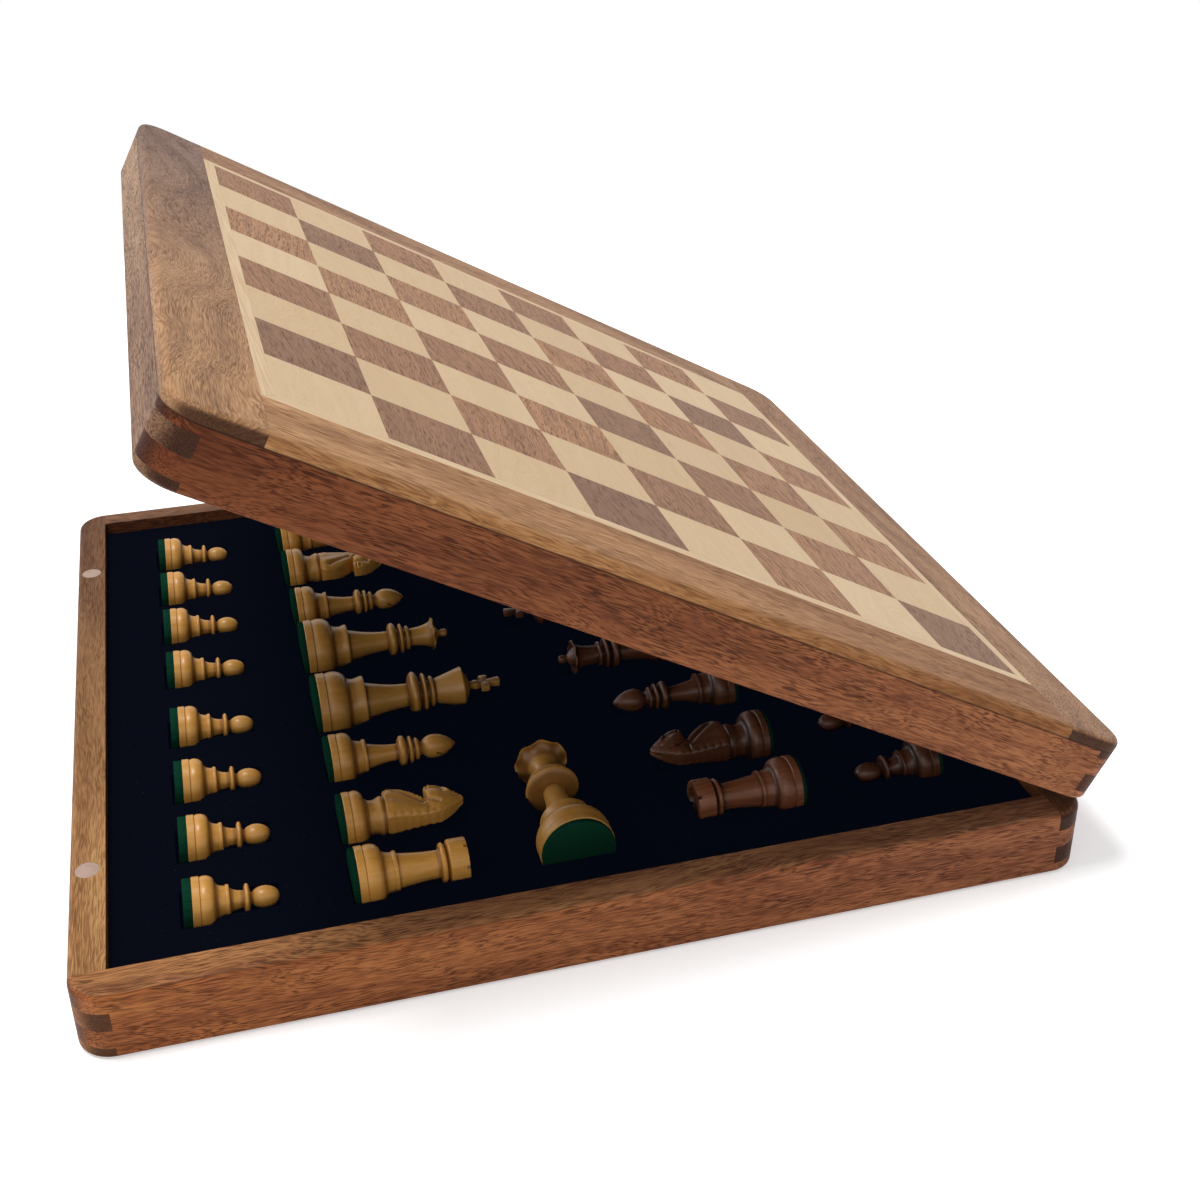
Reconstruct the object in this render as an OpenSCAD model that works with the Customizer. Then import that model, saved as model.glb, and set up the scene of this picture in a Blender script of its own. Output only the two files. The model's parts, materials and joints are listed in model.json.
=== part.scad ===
/* [Box] */
// Side length of the square box
box_w = 356; // [320:1:440]
// Height of the base, from its underside to its rim
base_h = 25.8; // [23:0.1:40]
// Height of the lid, from its rim to the playing surface
lid_h = 25.8; // [25:0.1:40]
// Thickness of the side boards, also the radius of the upright corners
wall_t = 12.3; // [9:0.1:16]
// Rounding of the outer edges at the rims and round the playing surface
edge_round = 2.5; // [1:0.1:4]
// Rounding of the bottom outer edge
foot_round = 1; // [0.5:0.1:2]
// Thickness of the bottom panel
bottom_t = 3; // [2:0.1:5]
// Height of one finger of the corner joints
finger_h = 7.2; // [5:0.1:10]
// Height of the lowest finger
first_finger_h = 4; // [3:0.1:6]

/* [Playing surface] */
// Side length of one square
square = 36.1; // [28:0.1:38]
// Width of the pale stringing round the squares
stringing_w = 4.8; // [2:0.1:8]
// Thickness of the squares and the stringing
inlay_t = 1.6; // [1:0.1:3]
// Glue line between neighbouring squares
glue_line = 0.1; // [0.05:0.01:0.2]
// Thickness of the border boards
border_t = 4.6; // [3:0.1:7]
// Thickness of the core panel under the border boards
core_t = 3; // [2:0.1:5]
// Thickness of the lining inside the lid
lining_t = 0.8; // [0.5:0.1:2]

/* [Hinges] */
// Angle that the lid stands open
lid_angle = 28.7; // [0:0.1:150]
// Gap between the two rims when the box is shut
rim_gap = 0.3; // [0.2:0.05:0.6]
// Distance of the hinge pin behind the box
pin_out = 1; // [0.6:0.1:2]
// Diameter of the hinge pin
pin_d = 2; // [1.5:0.1:2.4]
// Outer diameter of the hinge knuckles
knuckle_d = 4.4; // [4:0.1:5.4]
// Length of one hinge along the board
hinge_l = 38; // [30:1:60]
// Width of one hinge leaf, from the pin
leaf_w = 10; // [8:0.1:11]
// Thickness of a hinge leaf
leaf_t = 1.2; // [1:0.1:1.6]
// Distance of each hinge from the middle of the box
hinge_y = 105; // [80:1:125]
// Number of knuckles of one hinge
knuckles = 5; // [3:2:7]
// Shank diameter of the hinge screws
screw_d = 1.8; // [1.5:0.1:2.2]
// Head diameter of the hinge screws
screw_head_d = 3.6; // [3:0.1:4]
// Length of the hinge screws
screw_l = 9; // [6:0.5:12]

/* [Catch] */
// Diameter of the magnets
magnet_d = 8.4; // [6:0.1:10]
// Thickness of the magnets
magnet_t = 2.5; // [1.5:0.1:4]
// Distance of each magnet from the middle of the box
magnet_y = 113; // [60:1:120]

/* [Foam tray] */
// Depth of the foam surface below the rim
foam_drop = 5.7; // [4:0.1:8]
// Clearance round the foam block
foam_gap = 0.3; // [0.2:0.1:1]
// Clearance between a chess piece and its nest
nest_gap = 0.6; // [0.4:0.1:1]
// Clearance between a chess piece and the floor of its nest
seat_gap = 0.3; // [0.2:0.1:0.5]
// Height of a piece's axis over the foam, as a share of its foot radius
float_share = 0.15; // [0:0.01:0.2]

/* [Chess pieces] */
// Height of a pawn
pawn_l = 31.2; // [28:0.1:34]
// Foot radius of a pawn
pawn_r = 9.35; // [8:0.05:9.8]
// Radius of the pawn's head
pawn_head_r = 4.6; // [4:0.1:5.4]
// Height of a rook
rook_l = 39.5; // [36:0.1:42]
// Foot radius of a rook
rook_r = 11; // [10:0.1:11.4]
// Radius of the rook's tower top
rook_head_r = 7.9; // [7:0.1:8.6]
// Height of a knight
knight_l = 45; // [42:0.1:48]
// Foot radius of a knight
knight_r = 10.7; // [10:0.1:11.2]
// Height of a bishop
bishop_l = 49.5; // [46:0.1:53]
// Foot radius of a bishop
bishop_r = 10.6; // [10:0.1:11]
// Radius of the bishop's mitre
mitre_r = 5.3; // [4.6:0.1:6]
// Height of a queen
queen_l = 62.5; // [58:0.1:66]
// Foot radius of a queen
queen_r = 13.7; // [13:0.1:14]
// Radius of the queen's collar
queen_collar_r = 8.4; // [7:0.1:9]
// Radius of the queen's coronet
queen_crown_r = 9; // [7.6:0.1:9.4]
// Height of a king
king_l = 76; // [72:0.1:80]
// Foot radius of a king
king_r = 14.1; // [13.4:0.1:14.2]
// Radius of the king's collar
king_collar_r = 9.3; // [8.4:0.1:10]
// Radius of the king's crown
king_crown_r = 8.9; // [8:0.1:9.4]
// Thickness of the felt under each piece
felt_t = 1.2; // [0.8:0.1:2]
// Distance of the felt's edge from the edge of the foot
felt_inset = 0.5; // [0.2:0.1:1]

/* [Layout] */
// Distance of the back rank feet from the middle of the box
rank_x = 83; // [80:0.5:86]
// Distance of the pawn feet from the middle of the box
pawn_x = 140.5; // [138:0.5:144]
// Distance of the spare queens' feet from the middle of the box
spare_y = 145.4; // [143:0.1:148]
// Shift of the spare queens to one side
spare_x = 4.7; // [0:0.1:8]
// Shift of the white rows towards the near side
row_shift = 4.7; // [0:0.1:8]

/* [Hidden] */

$fn = 96;
fit = 0.05;
cut = 1;

inner = box_w / 2 - wall_t;
field_w = 8 * square;
frame_w = field_w + 2 * stringing_w;
border_w = (box_w - frame_w) / 2;
lid_z = base_h + rim_gap;
lid_top = lid_z + lid_h;
side_h = lid_h - border_t;
foam_z = base_h - foam_drop;
pin_x = box_w / 2 + pin_out;
pin_z = base_h + rim_gap / 2;
leaf_gap = 0.1;
knuckle_gap = 0.2;
knuckle_l = hinge_l / knuckles;
barrel_room = 0.3;
magnet_x = box_w / 2 - wall_t / 2;
screw_x = pin_x - leaf_w * 0.62;
screw_pitch = hinge_l * 0.33;
head_h = (screw_head_d - screw_d) / 2;

border_wood = [0.69, 0.53, 0.38];
side_wood = [0.49, 0.31, 0.21];
maple = [0.87, 0.77, 0.62];
walnut = [0.55, 0.42, 0.34];
boxwood = [0.78, 0.62, 0.38];
rosewood = [0.36, 0.18, 0.12];
flock = [0.05, 0.05, 0.08];
felt_green = [0.06, 0.27, 0.16];
brass = [0.80, 0.65, 0.35];
nickel = [0.82, 0.76, 0.72];

// Turning curves, as lists of [radius, height]
// Cove: leaves a wide radius flat and ends upright at a narrow one
function cove(r0, z0, r1, z1, n = 6) =
    [for (i = [0:n]) [r1 + (r0 - r1) * (1 - sin(90 * i / n)), z0 + (z1 - z0) * (1 - cos(90 * i / n))]];
// Flare: leaves a narrow radius upright and ends flat at a wide one
function flare(r0, z0, r1, z1, n = 6) =
    [for (i = [0:n]) [r0 + (r1 - r0) * (1 - cos(90 * i / n)), z0 + (z1 - z0) * sin(90 * i / n)]];
// Bead: a round bulge that stands out from a radius
function bead(r, out, z0, z1, n = 8) =
    [for (i = [0:n]) [r + out * sin(180 * i / n), (z0 + z1) / 2 - (z1 - z0) / 2 * cos(180 * i / n)]];
// Egg: a rounded head, blunt below its widest place at z and longer above it
function egg(r, z, below, above, n = 8) = concat(
    [for (i = [0:n / 2]) [r * sin(30 + 60 * i / (n / 2)), z - below * cos(30 + 60 * i / (n / 2))]],
    [for (i = [1:n - 1]) [r * cos(90 * i / n), z + above * sin(90 * i / n)]]);
// Stem: narrows quickly above the foot and then hardly at all
function stem(r0, z0, r1, z1, n = 6) =
    [for (i = [0:n]) [r0 + (r1 - r0) * sin(90 * i / n), z0 + (z1 - z0) * i / n]];
// Foot: plinth, groove, swelling and the cove up to the waist
function foot(r, plinth, swell_z, waist_r, waist_z) = concat(
    [[0, 0], [r - 0.2, 0], [r, 0.2], [r, plinth - 0.2], [r * 0.955, plinth]],
    [for (a = [-30:15:75])
        [r * (0.72 + 0.28 * cos(a)), plinth + (swell_z - plinth) * (sin(a) + 0.5) / (sin(75) + 0.5)]],
    cove(r * 0.7925, swell_z, waist_r, waist_z));
// Collar: a round bead of height h and two smaller rings above it
function collar(neck_r, r, z, h) = concat(
    bead(neck_r, r - neck_r, z, z + h),
    bead(neck_r, (r - neck_r) * 0.76, z + h * 1.14, z + h * 1.7, 4),
    bead(neck_r, (r - neck_r) * 0.4, z + h * 1.86, z + h * 2.36, 4));

module turned(points) {
    rotate_extrude() polygon(points);
}

// Felt disc glued under a foot
module felt_pad(r) {
    color(felt_green) translate([0, 0, -felt_t - fit]) cylinder(r = r - felt_inset, h = felt_t);
}

module pawn(wood) {
    collar_z = pawn_l - 13;
    color(wood) turned(concat(
        foot(pawn_r, 3, 8.1, 5.2, 11.6),
        [[5.6, 12], [5.6, 13]],
        cove(5, 13.2, 3, collar_z),
        bead(3, 2.2, collar_z, collar_z + 2.2),
        egg(pawn_head_r, pawn_l - 5.6, 5.2, 5.6),
        [[0, pawn_l]]));
    felt_pad(pawn_r);
}

module rook(wood) {
    collar_z = rook_l - 10;
    notch_w = 1.3;
    notch_h = 1.4;
    color(wood) difference() {
        turned(concat(
            foot(rook_r, 3, 9, 6.9, 12.8),
            [[7.3, 13.3], [7.3, 14.2]],
            stem(6.6, 14.5, 4.9, collar_z - 0.6),
            bead(5.2, 2, collar_z, collar_z + 2.4),
            [[6.4, collar_z + 2.9], [rook_head_r, collar_z + 3.4], [rook_head_r, rook_l - 0.5],
                [rook_head_r - 0.5, rook_l], [5, rook_l], [4.8, rook_l - 1.8], [0, rook_l - 1.8]]));
        for (i = [0:2])
            rotate(i * 60 + 15) translate([0, 0, rook_l - notch_h / 2])
                cube([rook_head_r * 2 + cut, notch_w, notch_h + cut], center = true);
    }
    felt_pad(rook_r);
}

// Side outline of the horse above its collar; the face looks along +x and the mane along -x
module horse_side() {
    polygon([[8.6, 15.2], [9.4, 17.2], [9.3, 19], [8.5, 21.2], [7.2, 24], [6.3, 26.6], [6, 28.3],
        [7.3, 29], [7.9, 30.2], [7.8, 31.3], [8.5, 31.9], [9.2, 33], [9.4, 34.3], [9, 35.8],
        [8, 37.2], [6.7, 38.6], [5.7, 40.4], [4.9, 42.4], [4.2, 43.8], [3, knight_l],
        [1.7, 43.4], [0.4, 41.8], [-1.5, 39.8], [-3, 37], [-4, 33], [-4.8, 28], [-5.5, 22],
        [-6.2, 15.2]]);
}

// Front outline of the horse: broad at the chest, narrow at the throat and the ears
module horse_front() {
    half = [[6.4, 15], [6.4, 18], [5.8, 21.6], [4.8, 25.5], [4.1, 28.4], [4.2, 31], [3.9, 34],
        [3.4, 37.2], [3, 40], [2.2, 43], [1.3, knight_l]];
    polygon(concat(half, [for (i = [len(half) - 1:-1:0]) [-half[i][0], half[i][1]]]));
}

// Carving on both sides of the horse: eye, nostril, mouth and the locks of its mane
module horse_carving() {
    eye = [5.1, 38];
    nostril = [8.4, 34.6];
    locks = 6;
    rotate([90, 0, 0]) {
        for (side = [-1, 1]) {
            translate([eye[0], eye[1], side * 3.8]) cylinder(r = 0.7, h = 1.6, center = true, $fn = 16);
            translate([nostril[0], nostril[1], side * 4])
                cylinder(r = 0.45, h = 1.6, center = true, $fn = 12);
            for (i = [0:locks - 1])
                translate([-5 + i * 0.4, 20 + i * 3.4, side * (6.2 - i * 0.5)]) rotate([0, 0, 35])
                    cube([5, 0.7, 2], center = true);
        }
        translate([8.6, 31.6]) rotate([0, 0, 12]) cube([4, 0.5, 14], center = true);
    }
}

module knight(wood) {
    color(wood) difference() {
        union() {
            turned(concat(
                foot(knight_r, 2.8, 7.6, 6.2, 10.6),
                [[6.3, 11.4], [6.9, 12.8], [7.2, 13.6], [6.9, 15], [6, 15.6], [0, 15.6]]));
            intersection() {
                rotate([90, 0, 0]) linear_extrude(height = 14, center = true) horse_side();
                rotate([90, 0, 90]) linear_extrude(height = 30, center = true) horse_front();
                cylinder(r = 9.6, h = knight_l + cut);
            }
        }
        horse_carving();
    }
    felt_pad(knight_r);
}

module bishop(wood) {
    mitre_z = bishop_l - 9;
    color(wood) difference() {
        turned(concat(
            foot(bishop_r, 2.9, 8.6, 6.4, 12.4),
            [[6.9, 12.9], [6.9, 13.8]],
            stem(5.9, 14.1, 3.2, bishop_l - 24),
            collar(3.2, 6.4, bishop_l - 23.2, 3.6),
            egg(mitre_r, mitre_z, 5.2, bishop_l - mitre_z),
            [[0, bishop_l]]));
        translate([mitre_r * 0.5, 0, mitre_z + 3.4]) rotate([0, -52, 0])
            cube([mitre_r * 1.5, mitre_r * 2 + cut, 0.9], center = true);
    }
    felt_pad(bishop_r);
}

module queen(wood) {
    crown_z = queen_l - 7;
    points = 8;
    point_h = 2.4;
    color(wood) difference() {
        turned(concat(
            foot(queen_r, 3.4, 11.4, 9, 15.4),
            [[9.6, 17.6], [9.5, 18.2]],
            stem(8.2, 18.6, 4, queen_l - 27.6),
            collar(4, queen_collar_r, queen_l - 26.7, 4.1),
            flare(3.9, queen_l - 16.6, queen_crown_r, crown_z + 0.6),
            [[queen_crown_r - 0.8, crown_z + 0.9], [4.6, crown_z - 0.3], [3.6, crown_z + 1.7],
                [1.2, crown_z + 3.2]],
            [for (a = [-50:20:70]) [1.7 * cos(a), queen_l - 1.7 + 1.7 * sin(a)]],
            [[0, queen_l]]));
        for (i = [0:points - 1])
            rotate(i * 360 / points) translate([queen_crown_r, 0, crown_z + point_h * 0.86])
                rotate([0, 90, 0]) cylinder(r = point_h, h = 4, center = true, $fn = 24);
    }
    felt_pad(queen_r);
}

module king(wood) {
    crown_z = king_l - 16.6;
    cross_z = king_l - 6.8;
    arm = 6.7;
    side_arm = 4.6;
    foot_arm = 5;
    cross_t = 2.6;
    color(wood) union() {
        turned(concat(
            foot(king_r, 3.6, 12, 9.9, 15.2),
            [[10.6, 18.4], [10.5, 19]],
            stem(8.8, 19.4, 4.4, king_l - 39.6),
            collar(4.6, king_collar_r, king_l - 38.9, 4.6),
            [[5.2, king_l - 27.2], [king_crown_r, crown_z], [king_crown_r - 0.5, crown_z + 0.8],
                [4.6, crown_z + 2.4]],
            cove(4.4, crown_z + 2.6, 1.5, crown_z + 4.4),
            [[1.5, cross_z - 3], [2, cross_z - 2.6], [0, cross_z - 2.6]]));
        for (part = [[0, arm], [90, side_arm], [180, foot_arm], [270, side_arm]])
            translate([0, 0, cross_z]) rotate([part[0], 0, 0]) translate([-cross_t / 2, 0, 0])
                rotate([90, 0, 90]) linear_extrude(height = cross_t)
                    polygon([[-1, 0], [-2, part[1] - 0.8], [-1.4, part[1]], [1.4, part[1]],
                        [2, part[1] - 0.8], [1, 0]]);
    }
    felt_pad(king_r);
}

// A piece lies level, a little more than half of its foot above the foam
function lift(r) = float_share * r;

// Half distances of the feet from the middle of each row
rank_half = [23, 61.5, 100.5, 133.5];
pawn_half = [22.5, 60.4, 96.2, 131.9];
function pawn_y(i) = (i < 4 ? -pawn_half[3 - i] : pawn_half[i - 4]);

module white_rank(place) { translate([-rank_x, place - row_shift, 0]) children(); }
module dark_rank(place) { translate([rank_x, row_shift - place, 0]) rotate([0, 0, 180]) children(); }

module laid(r) { translate([0, 0, foam_z + lift(r)]) rotate([0, 90, 0]) children(); }

module white_pawn(i) {
    translate([-pawn_x, pawn_y(i) - row_shift, 0]) laid(pawn_r) pawn(boxwood);
}

module dark_pawn(i) {
    translate([pawn_x, row_shift + pawn_y(i), 0]) rotate([0, 0, 180]) laid(pawn_r) pawn(rosewood);
}

// Pocket of a nest under one stretch of a piece, from s0 to s1 along it and as wide as w0 and w1
module pocket(r, depth_r, s0, w0, s1, w1) {
    floor_z = foam_z + lift(r) - depth_r - seat_gap;
    g = nest_gap;
    translate([0, 0, floor_z]) linear_extrude(height = foam_z - floor_z + cut)
        polygon([[s0 - g, -w0 - g], [s1 + g, -w1 - g], [s1 + g, w1 + g], [s0 - g, w0 + g]]);
}

// Nest: deep under the foot, tapering from the swelling to foot_s, then raised to front_r
module nest(r, l, swell_s, foot_s, front_r, front_w) {
    pocket(r, r, -felt_t - fit, r, swell_s, r);
    pocket(r, r, swell_s, r, foot_s, front_w);
    pocket(r, front_r, foot_s, front_w, l, front_w);
}

module pawn_nest() { nest(pawn_r, pawn_l, swell_s = 8.1, foot_s = 11.6, front_r = 5.7, front_w = 5.7); }
module rook_nest() {
    nest(rook_r, rook_l, swell_s = 9, foot_s = 12.4, front_r = rook_head_r, front_w = rook_head_r);
}
module knight_nest() { nest(knight_r, knight_l, swell_s = 7.6, foot_s = 11, front_r = 7.3, front_w = 9.8); }
module bishop_nest() { nest(bishop_r, bishop_l, swell_s = 8.6, foot_s = 12.4, front_r = 7, front_w = 7); }
module queen_nest() {
    nest(queen_r, queen_l, swell_s = 11.4, foot_s = 19, front_r = queen_crown_r, front_w = queen_crown_r);
}
module king_nest() {
    nest(king_r, king_l, swell_s = 12, foot_s = 21, front_r = king_collar_r, front_w = king_collar_r);
}

module rank_nests() {
    translate([0, -rank_half[3]]) rook_nest();
    translate([0, rank_half[3]]) rook_nest();
    translate([0, -rank_half[2]]) knight_nest();
    translate([0, rank_half[2]]) knight_nest();
    translate([0, -rank_half[1]]) bishop_nest();
    translate([0, rank_half[1]]) bishop_nest();
    translate([0, -rank_half[0]]) king_nest();
    translate([0, rank_half[0]]) queen_nest();
}

module half_nests() {
    translate([-rank_x, -row_shift]) rank_nests();
    for (i = [0:7]) translate([-pawn_x, pawn_y(i) - row_shift]) pawn_nest();
    translate([-spare_x, -spare_y]) rotate(90) queen_nest();
}

// Cross-section of a side wall: x runs outwards from the inner face
module wall_section(h, top_round, bottom_round) {
    difference() {
        square([wall_t, h]);
        if (top_round > 0) translate([wall_t - top_round, h - top_round]) edge_waste(top_round);
        if (bottom_round > 0)
            translate([wall_t - bottom_round, bottom_round]) mirror([0, 1]) edge_waste(bottom_round);
    }
}

module edge_waste(r) {
    difference() {
        square(r + cut);
        circle(r = r);
    }
}

// Corner post of a wall, a quarter turn about the inner corner
module corner_post(h, top_round, bottom_round) {
    rotate_extrude(angle = 90) wall_section(h, top_round, bottom_round);
}

// Heights of the finger joints: own says whether this end holds the top finger
module finger_levels(h, own) {
    levels = [0, first_finger_h, first_finger_h + finger_h, first_finger_h + 2 * finger_h, h];
    for (i = [0:3])
        if ((i % 2 == 1) == own)
            translate([-cut, -cut, levels[i]])
                cube([wall_t + 2 * cut, wall_t + 2 * cut, levels[i + 1] - levels[i]]);
}

// One side board: it stands along y at the -x side, with a jointed post at each end
module side_board(h, top_round, bottom_round) {
    translate([-inner, inner, 0]) rotate([90, 0, 0])
        linear_extrude(height = 2 * inner) mirror([1, 0]) wall_section(h, top_round, bottom_round);
    translate([-inner, -inner, 0]) rotate(180) intersection() {
        corner_post(h, top_round, bottom_round);
        finger_levels(h, false);
    }
    translate([-inner, inner, 0]) rotate(90) intersection() {
        corner_post(h, top_round, bottom_round);
        finger_levels(h, true);
    }
}

module base_side() { side_board(base_h, edge_round, foot_round); }
module lid_side() { translate([0, 0, lid_z]) side_board(side_h, 0, edge_round); }

// Everything of the lid is drawn shut and swung open about the hinge pins
module lid_pose() {
    translate([pin_x, 0, pin_z]) rotate([0, lid_angle, 0]) translate([-pin_x, 0, -pin_z]) children();
}

module at_hinges() {
    for (side = [-1, 1]) translate([pin_x, side * hinge_y, pin_z]) children();
}

module pin_bar(d, l) {
    rotate([90, 0, 0]) cylinder(d = d, h = l, center = true);
}

module at_screws() {
    for (k = [-1:1]) translate([screw_x - pin_x, k * screw_pitch, 0]) children();
}

// Hinge leaf below the pin's level; first is the first knuckle that it carries
module leaf(first) {
    difference() {
        union() {
            translate([-leaf_w, -hinge_l / 2, -leaf_gap / 2 - leaf_t])
                cube([leaf_w, hinge_l, leaf_t]);
            pin_bar(knuckle_d, hinge_l);
        }
        for (k = [1 - first:2:knuckles - 1])
            translate([-knuckle_d / 2 - fit, -hinge_l / 2 + k * knuckle_l - knuckle_gap / 2, -knuckle_d])
                cube([knuckle_d * 2, knuckle_l + knuckle_gap, knuckle_d * 2]);
        pin_bar(pin_d + 4 * fit, hinge_l + cut);
        at_screws() translate([0, 0, -leaf_gap / 2]) screw_room();
    }
}

// Countersunk screw with its head at z = 0
module screw(room) {
    translate([0, 0, -head_h]) cylinder(d1 = screw_d + room, d2 = screw_head_d + room, h = head_h);
    translate([0, 0, -screw_l]) cylinder(d = screw_d + room, h = screw_l - head_h + fit);
}

module screw_room() {
    screw(2 * fit);
    cylinder(d = screw_head_d + 2 * fit, h = cut);
}

// Room cut in the rim for a leaf, its barrel and its screws
module hinge_room() {
    translate([-leaf_w - fit, -hinge_l / 2 - fit, -leaf_gap / 2 - leaf_t])
        cube([leaf_w, hinge_l + 2 * fit, leaf_t + cut]);
    pin_bar(knuckle_d + 2 * barrel_room, hinge_l + 2 * barrel_room);
    at_screws() translate([0, 0, -leaf_gap / 2]) screw(2 * fit);
}

module lid_side_up() { mirror([0, 0, 1]) children(); }

module base_front_board() {
    color(side_wood) difference() {
        base_side();
        for (side = [-1, 1]) translate([-magnet_x, side * magnet_y, base_h - magnet_t])
            cylinder(d = magnet_d + 2 * fit, h = magnet_t + cut);
    }
}

module base_hinge_board() {
    color(side_wood) difference() {
        rotate(180) base_side();
        at_hinges() hinge_room();
    }
}

module base_near_board() { color(side_wood) rotate(90) base_side(); }
module base_far_board() { color(side_wood) rotate(-90) base_side(); }

module base_bottom_panel() {
    color(walnut) translate([-inner, -inner, 0]) cube([2 * inner, 2 * inner, bottom_t]);
}

module foam_tray() {
    half = inner - foam_gap;
    color(flock) difference() {
        translate([-half, -half, bottom_t]) cube([2 * half, 2 * half, foam_z - bottom_t]);
        half_nests();
        rotate(180) half_nests();
    }
}

module base_magnets() {
    color(nickel) for (side = [-1, 1])
        translate([-magnet_x, side * magnet_y, base_h - magnet_t]) cylinder(d = magnet_d, h = magnet_t);
}

module lid_front_board() {
    color(side_wood) lid_pose() difference() {
        lid_side();
        for (side = [-1, 1]) translate([-magnet_x, side * magnet_y, lid_z - cut])
            cylinder(d = magnet_d + 2 * fit, h = magnet_t + cut);
    }
}

module lid_hinge_board() {
    color(side_wood) lid_pose() difference() {
        rotate(180) lid_side();
        at_hinges() lid_side_up() hinge_room();
    }
}

module lid_near_board() { color(side_wood) lid_pose() rotate(90) lid_side(); }
module lid_far_board() { color(side_wood) lid_pose() rotate(-90) lid_side(); }

// Border board along the whole -x side, with two rounded corners
module long_border() {
    translate([0, 0, lid_top - border_t]) {
        translate([-inner, inner, 0]) rotate([90, 0, 0])
            linear_extrude(height = 2 * inner) mirror([1, 0]) wall_section(border_t, edge_round, 0);
        for (side = [-1, 1]) translate([-inner, side * inner, 0]) rotate(side > 0 ? 90 : 180)
            corner_post(border_t, edge_round, 0);
        translate([-inner, -inner, 0]) cube([border_w - wall_t - fit, 2 * inner, border_t]);
        for (side = [-1, 1]) translate([-inner, side * inner, 0]) rotate([90, 0, 90])
            linear_extrude(height = border_w - wall_t - fit) mirror([side > 0 ? 0 : 1, 0])
                wall_section(border_t, edge_round, 0);
    }
}

// Border board between the long ones, along the near side
module short_border() {
    translate([-frame_w / 2, -inner, lid_top - border_t]) {
        rotate([90, 0, 90]) linear_extrude(height = frame_w) mirror([1, 0])
            wall_section(border_t, edge_round, 0);
        cube([frame_w, border_w - wall_t - fit, border_t]);
    }
}

module lid_border_front() { color(border_wood) lid_pose() long_border(); }
module lid_border_hinge() { color(border_wood) lid_pose() rotate(180) long_border(); }
module lid_border_near() { color(border_wood) lid_pose() short_border(); }
module lid_border_far() { color(border_wood) lid_pose() rotate(180) short_border(); }

module board_core() {
    color(walnut) lid_pose() {
        translate([-inner, -inner, lid_top - border_t - core_t]) cube([2 * inner, 2 * inner, core_t]);
        translate([-frame_w / 2 + fit, -frame_w / 2 + fit, lid_top - border_t - core_t / 2])
            cube([frame_w - 2 * fit, frame_w - 2 * fit, border_t + core_t / 2 - inlay_t]);
    }
}

module board_stringing() {
    color(maple) lid_pose() for (turn = [0:90:270]) rotate(turn)
        translate([0, 0, lid_top - inlay_t]) linear_extrude(height = inlay_t)
            polygon([[-frame_w / 2 + 2 * fit, -frame_w / 2 + fit],
                [frame_w / 2 - 2 * fit, -frame_w / 2 + fit],
                [field_w / 2 - 2 * fit, -field_w / 2], [-field_w / 2 + 2 * fit, -field_w / 2]]);
}

// Squares of one shade, counted from the near opening-side corner, which is light
module squares(shade) {
    side = square - glue_line;
    for (i = [0:7], j = [0:7])
        if ((i + j) % 2 == shade)
            translate([(i - 3.5) * square, (j - 3.5) * square, lid_top - inlay_t / 2])
                cube([side, side, inlay_t], center = true);
}

module light_squares() { color(maple) lid_pose() squares(0); }
module dark_squares() { color(walnut) lid_pose() squares(1); }

module lid_lining() {
    half = inner - foam_gap;
    color(flock) lid_pose() translate([-half, -half, lid_top - border_t - core_t - lining_t])
        cube([2 * half, 2 * half, lining_t]);
}

module lid_magnets() {
    color(nickel) lid_pose() for (side = [-1, 1])
        translate([-magnet_x, side * magnet_y, lid_z]) cylinder(d = magnet_d, h = magnet_t);
}

module hinge_base_leaves() { color(brass) at_hinges() leaf(0); }
module hinge_lid_leaves() { color(brass) lid_pose() at_hinges() lid_side_up() leaf(1); }
module hinge_pins() { color(brass) at_hinges() pin_bar(pin_d, hinge_l); }

module base_hinge_screws() {
    color(brass) at_hinges() at_screws() translate([0, 0, -leaf_gap / 2]) screw(0);
}

module lid_hinge_screws() {
    color(brass) lid_pose() at_hinges() lid_side_up() at_screws() translate([0, 0, -leaf_gap / 2]) screw(0);
}

module white_king() { white_rank(-rank_half[0]) laid(king_r) king(boxwood); }
module white_queen() { white_rank(rank_half[0]) laid(queen_r) queen(boxwood); }
module white_bishop_near() { white_rank(-rank_half[1]) laid(bishop_r) bishop(boxwood); }
module white_bishop_far() { white_rank(rank_half[1]) laid(bishop_r) bishop(boxwood); }
module white_knight_near() { white_rank(-rank_half[2]) laid(knight_r) rotate(90) knight(boxwood); }
module white_knight_far() { white_rank(rank_half[2]) laid(knight_r) rotate(-90) knight(boxwood); }
module white_rook_near() { white_rank(-rank_half[3]) laid(rook_r) rook(boxwood); }
module white_rook_far() { white_rank(rank_half[3]) laid(rook_r) rook(boxwood); }
module dark_king() { dark_rank(-rank_half[0]) laid(king_r) king(rosewood); }
module dark_queen() { dark_rank(rank_half[0]) laid(queen_r) queen(rosewood); }
module dark_bishop_near() { dark_rank(rank_half[1]) laid(bishop_r) bishop(rosewood); }
module dark_bishop_far() { dark_rank(-rank_half[1]) laid(bishop_r) bishop(rosewood); }
module dark_knight_near() { dark_rank(rank_half[2]) laid(knight_r) rotate(-90) knight(rosewood); }
module dark_knight_far() { dark_rank(-rank_half[2]) laid(knight_r) rotate(90) knight(rosewood); }
module dark_rook_near() { dark_rank(rank_half[3]) laid(rook_r) rook(rosewood); }
module dark_rook_far() { dark_rank(-rank_half[3]) laid(rook_r) rook(rosewood); }

module white_spare_queen() {
    translate([-spare_x, -spare_y, 0]) rotate(90) laid(queen_r) queen(boxwood);
}

module dark_spare_queen() {
    translate([spare_x, spare_y, 0]) rotate(-90) laid(queen_r) queen(rosewood);
}

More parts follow.
